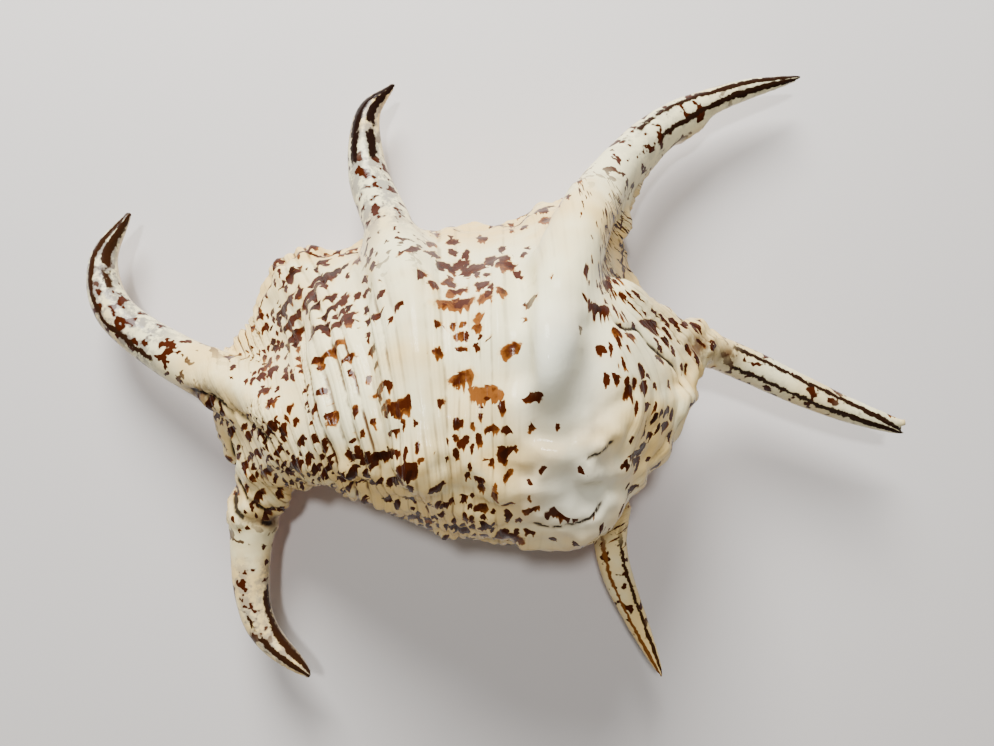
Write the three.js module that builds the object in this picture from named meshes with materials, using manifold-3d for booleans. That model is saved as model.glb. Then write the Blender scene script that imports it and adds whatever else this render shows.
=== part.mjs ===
// Spider conch shell (chiragra kind), lying on its aperture side.
// Millimetres, +Z up. +X runs along the shell's axis to the apex, +Y points to the outer lip,
// and z = 0 is the surface that the shell rests on. The origin is the bottom centre of its box.
import * as THREE from "three";
import { mergeVertices } from "three/addons/utils/BufferGeometryUtils.js";
import Module from "manifold-3d";

const wasm = await Module();
wasm.setup();

// Driving dimensions.
const axisY = -9; // the coiling axis passes over the rest surface here
const axisZ = 37;

const whorlSides = 36;
const whorlSteps = 26;
// The body whorl and the spire: x along the axis, centre y and z, half width and half height.
const whorlStations = [
  [-81, -19, 15, 3, 3],
  [-73, -17, 18, 11, 11],
  [-62, -15, 23, 18, 20],
  [-46, -12, 29, 21, 27],
  [-30, -10, 33, 28, 33],
  [-14, axisY, 35, 35, 36],
  [2, axisY, axisZ, 38, 38],
  [14, axisY, axisZ, 38, 38],
  [24, axisY, axisZ, 35, 35],
  [31, -8, 38, 30, 30],
  [41, -7, 39, 19, 19],
  [50, -6, 40, 7, 8],
  [54, -6, 40, 1, 1],
];

// Digits and canals: a few points from the root on the whorl to the tip, the full tube radius, the
// radius left at the tip, and how late the tube thins (the higher the power, the later).
const digits = {
  frontLip: {
    path: [[-45, -18, 43], [-72, -6, 28], [-99, 6, 18], [-117, 19, 15], [-122, 35, 12], [-115, 50, 10]],
    full: 8,
    tip: 2,
    power: 3,
  },
  middleLip: {
    path: [[-15, -14, 64], [-22, 16, 48], [-31, 41, 25], [-39, 60, 16], [-40, 79, 13], [-32, 90, 11]],
    full: 8,
    tip: 1.5,
    power: 5,
  },
  rearLip: {
    path: [[12, 9, 69], [22, 38, 44], [33, 57, 25], [50, 75, 16], [72, 86, 13], [94, 92, 11]],
    full: 8,
    tip: 2,
    power: 2,
  },
  spireSide: {
    path: [[33, 20, 49], [51, 10, 34], [70, 4, 23], [95, -7, 20], [122, -18, 19]],
    full: 5.5,
    tip: 2,
    power: 4,
  },
  rearCanal: {
    path: [[31, -20, 20], [34, -44, 15], [37, -62, 14], [50, -92, 17]],
    full: 6.5,
    tip: 1.5,
    power: 2,
  },
  frontCanal: {
    path: [[-58, -20, 24], [-70, -32, 19], [-75, -48, 15], [-75, -68, 15], [-70, -80, 16], [-57, -91, 18]],
    full: 13,
    tip: 3,
    power: 0.6,
  },
};
const digitSides = 12;
const digitSteps = 20;
const digitRootShare = 0.7; // a root starts with this share of the radius
const digitRootLength = 0.3; // and has all of it this far along
const digitTipShare = 0.4; // the very tip is rounded down to this share
const digitTipSharpness = 16;

// The outer lip seen from above, as points round its rim.
const lipCentre = [-12, 4];
const lipOutline = [
  [-88, -8],
  [-82, 7],
  [-74, 15],
  [-70, 27],
  [-61, 37],
  [-46, 38],
  [-33, 43],
  [-11, 45],
  [1, 47],
  [14, 51],
  [36, 56],
  [38, 42],
  [43, 29],
  [54, 14],
  [52, 0],
  [38, -12],
  [0, -22],
  [-50, -26],
  [-80, -26],
];
// The lip's back rises towards this height: highest in the middle, low at both ends and on the far side.
const lipCrest = { low: 20, high: 72, front: [-92, -26], rear: [24, 60], side: [-25, 5] };
const lipPoints = 60;
const lipRings = 7;
const lipRimTop = 14;
const lipRimBottom = 5;
const lipRun = 24; // the back has done most of its rise this far in from the rim
const lipPadInset = 14; // the lower face dips to the rest surface this far in from the rim
const lipPadSink = 0.8; // and would pass this far below it, so a flat patch is left to lie on

// Knobs on the shoulder ridge: centre and half sizes.
const knobs = [
  [11, 2, 69, 8, 13, 12],
  [14, -20, 60, 8, 9, 11],
  [18, -35, 46, 8, 9, 10],
  [-33, 24, 36, 9, 11, 7],
];

// The aperture: a long slit from the front canal to the rear canal, arched over inside.
// Rows of x, y, half width and the height of the arch.
const apertureRoute = [
  [-76, -46, 2.2, 9],
  [-73, -38, 2.6, 10],
  [-65, -24, 3.2, 13],
  [-51, -9, 4, 17],
  [-32, 2, 5.4, 22],
  [-8, 7, 6, 24],
  [13, 5, 5.6, 24],
  [27, -5, 4.4, 20],
  [33, -19, 3.2, 13],
  [35, -46, 2.2, 9],
];
const apertureSteps = 26;
const apertureBottom = -2;

// The whorl's hollow: a tapering space that turns about the axis, from above the aperture to the
// far side. Rows of angle in degrees, distance from the axis, half depth, x and half length.
const hollowRoute = [
  [-75, 20, 9, -5, 32],
  [-45, 23, 12.5, -2, 30],
  [-15, 24, 13.5, 0, 28],
  [15, 20.5, 10.5, 2, 26],
  [60, 19.5, 11.5, 4, 25],
  [115, 19, 9, 8, 21],
  [178, 19, 6, 14, 14],
];
const hollowSteps = 16;
const hollowSides = 16;

// Open channels under the two canals, as shares of the tube radius, from step to step.
const channel = { radiusShare: 0.45, drop: 0.8, firstStep: 5, lastStep: 18 };

const floorCut = { length: 400, depth: 40 };

// A closed triangle mesh as a manifold solid, with its shared vertices merged.
function solidOf(geometry) {
  const positions = geometry.index ? geometry.toNonIndexed() : geometry.clone();
  positions.deleteAttribute("normal");
  positions.deleteAttribute("uv");
  const merged = mergeVertices(positions, 1e-4);
  return new wasm.Manifold(
    new wasm.Mesh({
      numProp: 3,
      vertProperties: merged.attributes.position.array,
      triVerts: new Uint32Array(merged.index.array),
    }),
  );
}

// Skins a row of rings, each with the same number of points, and closes both ends with fans.
function skinRings(rings) {
  const sides = rings[0].length;
  const points = rings.flat();
  const faces = [];
  for (let ring = 0; ring < rings.length - 1; ring++) {
    for (let side = 0; side < sides; side++) {
      const next = (side + 1) % sides;
      const a = ring * sides + side;
      const b = ring * sides + next;
      faces.push(a, b, b + sides, a, b + sides, a + sides);
    }
  }
  const centreOf = (ring) =>
    ring.reduce((sum, p) => sum.add(p), new THREE.Vector3()).divideScalar(sides);
  const firstCentre = points.push(centreOf(rings[0])) - 1;
  const lastCentre = points.push(centreOf(rings.at(-1))) - 1;
  const lastRing = (rings.length - 1) * sides;
  for (let side = 0; side < sides; side++) {
    const next = (side + 1) % sides;
    faces.push(firstCentre, next, side);
    faces.push(lastCentre, lastRing + side, lastRing + next);
  }
  return new THREE.BufferGeometry().setFromPoints(points).setIndex(faces);
}

// Turns every face of a mesh round, for skins whose rings run clockwise.
function flipFaces(geometry) {
  const index = geometry.index.array;
  for (let i = 0; i < index.length; i += 3) {
    [index[i + 1], index[i + 2]] = [index[i + 2], index[i + 1]];
  }
  return geometry;
}

// A smooth reading of a table of rows: each column is a spline over the rows.
function splineRows(rows) {
  const columns = rows[0].map((_, column) => new THREE.SplineCurve(
    rows.map((row, i) => new THREE.Vector2(i / (rows.length - 1), row[column])),
  ));
  return (t) => columns.map((curve) => curve.getPoint(t).y);
}

// Body whorl and spire: ellipses strung along the coiling axis.
function bodyWhorl() {
  const stationAt = splineRows(whorlStations);
  const rings = [];
  for (let step = 0; step <= whorlSteps; step++) {
    const [x, y, z, halfWidth, halfHeight] = stationAt(step / whorlSteps);
    rings.push(ellipseRing(x, y, z, halfWidth, halfHeight));
  }
  return skinRings(rings);
}

// One ellipse across the axis, anticlockwise seen from the apex.
function ellipseRing(x, y, z, halfWidth, halfHeight) {
  const ring = [];
  for (let side = 0; side < whorlSides; side++) {
    const angle = (side / whorlSides) * 2 * Math.PI;
    const out = halfWidth * Math.cos(angle);
    const up = halfHeight * Math.sin(angle);
    ring.push(new THREE.Vector3(x, y + out, z + up));
  }
  return ring;
}

// A digit's radius at a share of its length.
function digitRadius({ full, tip, power }, share) {
  const body = tip + (full - tip) * (1 - share ** power);
  const grown = THREE.MathUtils.smoothstep(share, 0, digitRootLength);
  const root = digitRootShare + (1 - digitRootShare) * grown;
  return body * root * (1 - (1 - digitTipShare) * share ** digitTipSharpness);
}

// A tapered tube along a digit, or a thinner, lower one along part of it.
function digitTube(digit, { radiusShare = 1, drop = 0, firstStep = 0, lastStep = digitSteps } = {}) {
  const points = digit.path.map((point) => new THREE.Vector3(...point));
  const curve = new THREE.CatmullRomCurve3(points, false, "centripetal");
  const frames = curve.computeFrenetFrames(digitSteps, false);
  const rings = [];
  for (let step = firstStep; step <= lastStep; step++) {
    const share = step / digitSteps;
    const centre = curve.getPointAt(share);
    const radius = digitRadius(digit, share);
    centre.z -= drop * radius;
    const ring = [];
    for (let side = 0; side < digitSides; side++) {
      const angle = (side / digitSides) * 2 * Math.PI;
      ring.push(centre.clone()
        .addScaledVector(frames.normals[step], radius * radiusShare * Math.cos(angle))
        .addScaledVector(frames.binormals[step], radius * radiusShare * Math.sin(angle)));
    }
    rings.push(ring);
  }
  return skinRings(rings);
}

// The height that the lip's back rises towards at one place.
function crestAt({ x, y }) {
  const { smoothstep } = THREE.MathUtils;
  const along = smoothstep(x, ...lipCrest.front) * (1 - smoothstep(x, ...lipCrest.rear));
  return lipCrest.low + (lipCrest.high - lipCrest.low) * along * smoothstep(y, ...lipCrest.side);
}

// Outer lip: a flared plate, thin at the rim and rising to the whorl, with a rounded edge.
function lipPlate() {
  const outline = new THREE.CatmullRomCurve3(
    lipOutline.map(([x, y]) => new THREE.Vector3(x, y, 0)),
    true,
    "centripetal",
  ).getSpacedPoints(lipPoints).slice(0, lipPoints);
  const centre = new THREE.Vector2(...lipCentre);
  const middle = (lipRimTop + lipRimBottom) / 2;
  const roundness = (lipRimTop - lipRimBottom) / 4;
  const ringAt = (inward, height) => outline.map((rim) => {
    const foot = new THREE.Vector2(rim.x, rim.y);
    const inset = inward * foot.distanceTo(centre);
    foot.lerp(centre, inward);
    return new THREE.Vector3(foot.x, foot.y, height(inset, crestAt(rim)));
  });
  const upperFace = (inset, crest) =>
    lipRimTop + (crest - lipRimTop) * (1 - Math.exp(-inset / lipRun));
  const lowerFace = (inset) =>
    lipRimBottom * Math.min(1, (inset / lipPadInset - 1) ** 2) - lipPadSink;
  const shares = Array.from({ length: lipRings }, (_, i) => 0.04 + (0.8 * i) / (lipRings - 1));
  const below = shares.toReversed().map((share) => ringAt(share, lowerFace));
  const edge = [
    ringAt(0.008, () => lipRimBottom + roundness * 0.4),
    ringAt(0, () => middle),
    ringAt(0.008, () => lipRimTop - roundness * 0.4),
  ];
  const above = shares.map((share) => ringAt(share, upperFace));
  return flipFaces(skinRings([...below, ...edge, ...above]));
}

// One shoulder knob: an egg-shaped swelling.
function knob([x, y, z, halfX, halfY, halfZ]) {
  return new THREE.SphereGeometry(1, 16, 12).scale(halfX, halfY, halfZ).translate(x, y, z);
}

// The aperture slit, as an arched bar to cut with.
function apertureSlit() {
  const rowAt = splineRows(apertureRoute);
  const rings = [];
  for (let step = 0; step <= apertureSteps; step++) {
    const share = step / apertureSteps;
    const [x, y, halfWidth, top] = rowAt(share);
    const [xAhead, yAhead] = rowAt(Math.min(1, share + 0.01));
    const [xBehind, yBehind] = rowAt(Math.max(0, share - 0.01));
    const across = new THREE.Vector3(yBehind - yAhead, xAhead - xBehind, 0).normalize();
    const pointAt = (sideways, height) =>
      new THREE.Vector3(x, y, height).addScaledVector(across, sideways * halfWidth);
    rings.push([
      pointAt(-1.25, apertureBottom),
      pointAt(-1, top * 0.7),
      pointAt(-0.5, top * 0.94),
      pointAt(0.5, top * 0.94),
      pointAt(1, top * 0.7),
      pointAt(1.25, apertureBottom),
    ]);
  }
  return flipFaces(skinRings(rings));
}

// The hollow that turns about the axis behind the aperture.
function whorlHollow() {
  const rowAt = splineRows(hollowRoute);
  const rings = [];
  for (let step = 0; step <= hollowSteps; step++) {
    const [degrees, distance, halfDepth, x, halfLength] = rowAt(step / hollowSteps);
    const angle = THREE.MathUtils.degToRad(degrees);
    const ring = [];
    for (let side = 0; side < hollowSides; side++) {
      const around = (side / hollowSides) * 2 * Math.PI;
      const radius = distance + halfDepth * Math.cos(around);
      ring.push(new THREE.Vector3(
        x + halfLength * Math.sin(around),
        axisY + radius * Math.cos(angle),
        axisZ + radius * Math.sin(angle),
      ));
    }
    rings.push(ring);
  }
  return flipFaces(skinRings(rings));
}

// The shell: its forms joined, then the aperture, the hollow and the channels cut from them.
function shellSolid() {
  const joined = [bodyWhorl(), lipPlate(), ...knobs.map(knob)];
  joined.push(...Object.values(digits).map((digit) => digitTube(digit)));
  const cuts = [apertureSlit(), whorlHollow()];
  cuts.push(...[digits.frontCanal, digits.rearCanal].map((digit) => digitTube(digit, channel)));
  cuts.push(new THREE.BoxGeometry(floorCut.length, floorCut.length, floorCut.depth)
    .translate(0, 0, -floorCut.depth / 2));
  const whole = joined.map(solidOf).reduce((sum, solid) => sum.add(solid));
  return cuts.map(solidOf).reduce((rest, cut) => rest.subtract(cut), whole);
}

// A manifold solid as a three.js geometry.
function geometryOf(solid) {
  const { numProp, numVert, vertProperties, triVerts } = solid.getMesh();
  const positions = new Float32Array(numVert * 3);
  for (let i = 0; i < numVert; i++) {
    positions.set(vertProperties.subarray(i * numProp, i * numProp + 3), i * 3);
  }
  const geometry = new THREE.BufferGeometry();
  geometry.setAttribute("position", new THREE.BufferAttribute(positions, 3));
  geometry.setIndex(new THREE.BufferAttribute(triVerts, 1));
  geometry.computeVertexNormals();
  return geometry;
}

const porcelain = new THREE.MeshStandardMaterial({ color: 0xece6d8, roughness: 0.35, metalness: 0 });
const shell = new THREE.Mesh(geometryOf(shellSolid()), porcelain);
shell.name = "shell";

// The box's middle goes over the origin, and the rest surface stays at z = 0.
shell.geometry.computeBoundingBox();
const middle = shell.geometry.boundingBox.getCenter(new THREE.Vector3());
shell.position.set(-middle.x, -middle.y, 0);

const conch = new THREE.Group();
conch.add(shell);
export default conch;
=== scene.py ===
import math
import bpy
import numpy as np
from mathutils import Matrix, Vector


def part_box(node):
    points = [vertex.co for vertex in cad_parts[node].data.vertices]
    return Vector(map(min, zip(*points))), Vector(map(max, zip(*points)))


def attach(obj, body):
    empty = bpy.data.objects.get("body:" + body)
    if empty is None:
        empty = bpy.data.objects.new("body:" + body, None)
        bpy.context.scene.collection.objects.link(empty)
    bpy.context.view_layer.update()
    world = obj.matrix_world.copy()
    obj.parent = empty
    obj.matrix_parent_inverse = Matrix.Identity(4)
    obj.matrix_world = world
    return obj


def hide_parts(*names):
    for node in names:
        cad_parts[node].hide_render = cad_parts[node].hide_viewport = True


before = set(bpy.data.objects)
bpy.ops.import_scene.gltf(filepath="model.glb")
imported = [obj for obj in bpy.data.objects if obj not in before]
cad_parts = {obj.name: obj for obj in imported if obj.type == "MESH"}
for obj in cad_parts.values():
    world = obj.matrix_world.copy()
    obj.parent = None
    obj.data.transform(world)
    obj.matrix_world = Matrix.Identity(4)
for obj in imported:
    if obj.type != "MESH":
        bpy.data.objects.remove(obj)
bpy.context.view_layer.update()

# The forms are worked out in millimetres over the middle of the body whorl, then moved onto the frame.
boxLow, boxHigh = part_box("shell")
perMetre = 1000
# Larger than any distance on the shell, or its square.
farAway = 1e9
print("frame loaded")


def smoothMin(a, b, k):
    h = np.maximum(k - np.abs(a - b), 0) / k
    return np.minimum(a, b) - h * h * k * 0.25


def smoothMax(a, b, k):
    return -smoothMin(-a, -b, k)


def smoothStep(low, high, value):
    t = np.clip((value - low) / (high - low), 0, 1)
    return t * t * (3 - 2 * t)


def smoothDrop(low, high, value):
    return 1 - smoothStep(low, high, value)


# Joins rows of numbers by a smooth curve, spaced evenly along their first three columns.
def smoothRows(rows, spacing):
    rows = np.asarray(rows, float)
    padded = np.vstack([2 * rows[0] - rows[1], rows, 2 * rows[-1] - rows[-2]])
    t = np.linspace(0, 1, 24, endpoint=False)[:, None]
    parts = []
    for a, b, c, d in zip(padded[:-3], padded[1:-2], padded[2:-1], padded[3:]):
        parts.append(b + 0.5 * t * (c - a + t * (2 * a - 5 * b + 4 * c - d + t * (3 * (b - c) + d - a))))
    fine = np.vstack(parts + [rows[-1:]])
    reach = min(3, fine.shape[1])
    along = np.concatenate([[0], np.cumsum(np.linalg.norm(np.diff(fine[:, :reach], axis=0), axis=1))])
    wanted = np.linspace(0, along[-1], max(4, int(along[-1] / spacing) + 1))
    return np.column_stack([np.interp(wanted, along, column) for column in fine.T])


# Plan distance from each point to a line, and the share along it of the nearest place.
def planDistance(x, y, line):
    line = np.asarray(line, float)
    best = np.full(x.shape, farAway)
    where = np.zeros(x.shape)
    for n, (start, end) in enumerate(zip(line[:-1], line[1:])):
        span = end[:2] - start[:2]
        share = np.clip(((x - start[0]) * span[0] + (y - start[1]) * span[1]) / max(span @ span, 1e-9), 0, 1)
        gap = (x - start[0] - share * span[0]) ** 2 + (y - start[1] - share * span[1]) ** 2
        nearer = gap < best
        best = np.where(nearer, gap, best)
        where = np.where(nearer, n + share, where)
    return np.sqrt(best), where / (len(line) - 1)


def isInside(x, y, line):
    inside = np.zeros(x.shape, bool)
    for (x0, y0), (x1, y1) in zip(line[:, :2], np.roll(line[:, :2], -1, 0)):
        crosses = (y0 > y) != (y1 > y)
        inside ^= crosses & (x < (x1 - x0) * (y - y0) / (y1 - y0 if y1 != y0 else 1e-9) + x0)
    return inside


cellCorners = [(a, b, c) for a in (0, 1) for b in (0, 1) for c in (0, 1)]


# Each corner of a cell, and how much it counts at the place f inside the cell.
def cornerWeights(f):
    for a, b, c in cellCorners:
        yield (a, b, c), np.abs(1 - a - f[:, 0]) * np.abs(1 - b - f[:, 1]) * np.abs(1 - c - f[:, 2])


# Smooth seeded bumps from -1 to 1, about size across.
def softNoise(points, size, seed):
    side = 32
    lattice = np.random.default_rng(seed).uniform(-1, 1, (side, side, side))
    at = points / size
    cell = np.floor(at).astype(int)
    f = at - cell
    total = np.zeros(len(points))
    for corner, weight in cornerWeights(f * f * (3 - 2 * f)):
        near = (cell + corner) % side
        total += weight * lattice[near[:, 0], near[:, 1], near[:, 2]]
    return total


# A block of sample points holding signed distances, negative inside the shell.
class Grid:
    # The value where nothing is near, and how far past its blend a shape still counts.
    empty = 1e3
    margin = 3

    def __init__(self, low, high, step):
        self.low = np.asarray(low, float)
        self.step = np.asarray(step, float)
        self.axes = [np.arange(lo, hi + st, st, dtype=np.float32) for lo, hi, st in zip(low, high, step)]
        self.field = np.full([len(a) for a in self.axes], self.empty, np.float32)

    # Slices and coordinates of the samples between two corners.
    def window(self, low, high):
        cuts = [slice(*np.searchsorted(a, [lo, hi])) for a, lo, hi in zip(self.axes, low, high)]
        x, y, z = (a[c] for a, c in zip(self.axes, cuts))
        return tuple(cuts), x[:, None, None], y[None, :, None], z[None, None, :]

    # Joins or cuts a tube whose rows are x, y, z and radius.
    def tube(self, rows, blend, cut=False):
        reach = rows[:, 3].max() + blend + self.margin
        cuts, x, y, z = self.window(rows[:, :3].min(0) - reach, rows[:, :3].max(0) + reach)
        part = Grid.__new__(Grid)
        part.axes = [x.ravel(), y.ravel(), z.ravel()]
        part.field = np.full(self.field[cuts].shape, self.empty, np.float32)
        for start, end in zip(rows[:-1], rows[1:]):
            span = end[:3] - start[:3]
            near = max(start[3], end[3]) + blend + self.margin
            low, high = np.minimum(start, end)[:3], np.maximum(start, end)[:3]
            bit, x, y, z = part.window(low - near, high + near)
            dx, dy, dz = x - start[0], y - start[1], z - start[2]
            share = np.clip((dx * span[0] + dy * span[1] + dz * span[2]) / max(span @ span, 1e-9), 0, 1)
            offX, offY, offZ = dx - share * span[0], dy - share * span[1], dz - share * span[2]
            gap = np.sqrt(offX ** 2 + offY ** 2 + offZ ** 2)
            part.field[bit] = np.minimum(part.field[bit], gap - (start[3] + share * (end[3] - start[3])))
        self.merge(cuts, part.field, blend, cut)

    # Joins an egg shape, turned about the vertical.
    def egg(self, centre, half, blend, turn=0.0):
        reach = max(half) + blend + self.margin
        cuts, x, y, z = self.window(np.subtract(centre, reach), np.add(centre, reach))
        dx, dy, dz = x - centre[0], y - centre[1], z - centre[2]
        c, s = math.cos(turn), math.sin(turn)
        u, v, w = (dx * c + dy * s) / half[0], (dy * c - dx * s) / half[1], dz / half[2]
        size = np.sqrt(u * u + v * v + w * w)
        slope = np.sqrt((u / half[0]) ** 2 + (v / half[1]) ** 2 + (w / half[2]) ** 2)
        self.merge(cuts, size * (size - 1) / np.maximum(slope, 1e-6), blend)

    def merge(self, cuts, part, blend, cut=False):
        old = self.field[cuts]
        self.field[cuts] = smoothMax(old, -part, blend) if cut else smoothMin(old, part, blend)

    # The field between the sample points.
    def sample(self, points):
        at = (points - self.low) / self.step
        cell = np.clip(at.astype(int), 0, np.array(self.field.shape) - 2)
        i, j, k = cell.T
        total = 0
        for (a, b, c), weight in cornerWeights(at - cell):
            total = total + weight * self.field[i + a, j + b, k + c]
        return total

    def slope(self, points, reach=0.5):
        parts = []
        for axis in range(3):
            step = np.zeros(3)
            step[axis] = reach
            parts.append((self.sample(points + step) - self.sample(points - step)) / (2 * reach))
        return np.column_stack(parts)


# Quads round the zero level of a grid, with one point in each cell that the surface crosses.
def skinOf(grid):
    field = grid.field
    inside = field < 0
    nx, ny, nz = field.shape
    count = sum(inside[a:nx - 1 + a, b:ny - 1 + b, c:nz - 1 + c].astype(np.int8) for a, b, c in cellCorners)
    active = (count > 0) & (count < len(cellCorners))
    index = np.full(active.shape, -1, np.int64)
    cells = np.argwhere(active)
    index[active] = np.arange(len(cells))
    i, j, k = cells.T
    value = {c: field[i + c[0], j + c[1], k + c[2]] for c in cellCorners}
    total = np.zeros((len(cells), 3))
    hits = np.zeros(len(cells))
    for start in cellCorners:
        for axis in range(3):
            if start[axis]:
                continue
            end = tuple(s + (axis == n) for n, s in enumerate(start))
            a, b = value[start], value[end]
            crossed = (a < 0) != (b < 0)
            share = np.where(crossed, a / np.where(crossed, a - b, 1), 0)
            for n in range(3):
                total[:, n] += crossed * (start[n] + (share if n == axis else 0))
            hits += crossed
    points = grid.low + (cells + total / hits[:, None]) * grid.step
    quads = []
    for axis in range(3):
        u, v = (axis + 1) % 3, (axis + 2) % 3
        low = [slice(0, s) for s in field.shape]
        high = [slice(0, s) for s in field.shape]
        low[axis], high[axis] = slice(0, field.shape[axis] - 1), slice(1, field.shape[axis])
        for n in (u, v):
            low[n] = high[n] = slice(1, field.shape[n] - 1)
        first, second = inside[tuple(low)], inside[tuple(high)]
        found = np.argwhere(first != second)
        outward = first[tuple(found.T)]
        found[:, u] += 1
        found[:, v] += 1
        around = []
        for du, dv in ((-1, -1), (0, -1), (0, 0), (-1, 0)):
            cell = found.copy()
            cell[:, u] += du
            cell[:, v] += dv
            around.append(index[tuple(cell.T)])
        quad = np.column_stack(around)
        quad[~outward] = quad[~outward][:, ::-1]
        quads.append(quad)
    return points, np.vstack(quads)


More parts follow.
